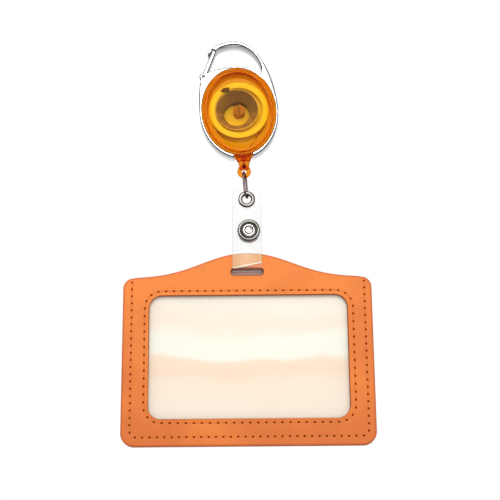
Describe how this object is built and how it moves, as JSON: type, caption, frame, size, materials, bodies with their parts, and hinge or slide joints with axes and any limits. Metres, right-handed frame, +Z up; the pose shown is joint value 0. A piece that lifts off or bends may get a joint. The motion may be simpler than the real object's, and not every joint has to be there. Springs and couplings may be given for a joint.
{
  "type": "retractable badge holder",
  "caption": "Spring reel with a snap ring and a clear strap that carries a windowed leather card holder.",
  "frame": {"origin": "top of the inside of the snap ring's loop, in the middle of its depth, where the holder hangs", "axes": "+Z up, +X to the right seen from the window's side, +Y to the back"},
  "size_m": [0.1124, 0.0103, 0.1927],
  "materials": {
    "chrome": "polished",
    "steel": "bright zinc",
    "spring_steel": "blued and oiled",
    "amber_plastic": "clear amber, glossy",
    "spool_plastic": "yellow, satin",
    "cord": "twisted, dark",
    "clear_vinyl": "clear, flexible",
    "orange_leather": "fine grain",
    "window_film": "clear, slightly wavy",
    "lining": "smooth, cream",
    "thread": "twisted"
  },
  "bodies": {
    "reel": {"carabiner_frame": "chrome", "gate_pin": "steel", "gate_spring": "spring_steel", "front_cover": "amber_plastic", "rear_cover": "amber_plastic"},
    "gate": {"gate": "chrome"},
    "spool": {"spool": "spool_plastic", "cord_winding": "cord", "mainspring": "spring_steel"},
    "cord_tip": {"cord_lead": "cord", "cord_knot": "cord"},
    "cord_end": {"cord_end": "amber_plastic"},
    "link": {"link": "steel"},
    "strap": {"strap": "clear_vinyl", "eyelet": "chrome", "eyelet_washer": "chrome", "snap_cap": "chrome", "snap_socket": "chrome"},
    "flap": {"strap_flap": "clear_vinyl", "snap_stud": "chrome", "snap_post": "chrome"},
    "holder": {"front_panel": "orange_leather", "window_film": "window_film", "lining": "lining", "back_panel": "orange_leather", "inner_seam": "thread", "outer_seam": "thread"}
  },
  "joints": [
    {"name": "gate_hinge", "type": "hinge", "parent": "reel", "child": "gate", "pos_m": [-0.01367, 0, -0.01641], "axis": [0, 1, 0], "range_deg": [0, 24], "stiffness_Nm_per_rad": 0.02, "springref_deg": -20.05, "deforming": ["gate_spring"]},
    {"name": "spool_spin", "type": "hinge", "parent": "reel", "child": "spool", "pos_m": [0.00307, 0, -0.03376], "axis": [0, 1, 0], "range_deg": [0, 2650], "deforming": ["mainspring"]},
    {"name": "cord_pull", "type": "slide", "parent": "reel", "child": "cord_tip", "axis": [0, 0, -1], "range_m": [0, 0.6], "stiffness_N_per_m": 1.67, "springref_m": -0.6, "deforming": ["cord_lead"]},
    {"name": "cord_twist", "type": "hinge", "parent": "cord_tip", "child": "cord_end", "pos_m": [0.00534, 0, -0.05906], "axis": [0, 0, 1], "continuous": true},
    {"name": "link_swing", "type": "hinge", "parent": "cord_end", "child": "link", "pos_m": [0.00534, 0, -0.06391], "axis": [0, 1, 0], "range_deg": [-60, 60]},
    {"name": "strap_swing", "type": "hinge", "parent": "link", "child": "strap", "pos_m": [0.00644, 0, -0.07611], "axis": [1, 0, 0], "range_deg": [-20, 20]},
    {"name": "flap_open", "type": "hinge", "parent": "strap", "child": "flap", "pos_m": [0.00644, 0.00176, -0.09986], "axis": [-1, 0, 0], "range_deg": [0, 90], "stiffness_Nm_per_rad": 0.001, "springref_deg": -17.19},
    {"name": "holder_swing", "type": "hinge", "parent": "strap", "child": "holder", "pos_m": [0.00644, 0, -0.10086], "axis": [-1, 0, 0], "range_deg": [-45, 45], "deforming": ["strap"]}
  ],
  "couplings": [
    {"joint": "spool_spin", "follows": "cord_pull", "rad_per_m": 76.9}
  ]
}
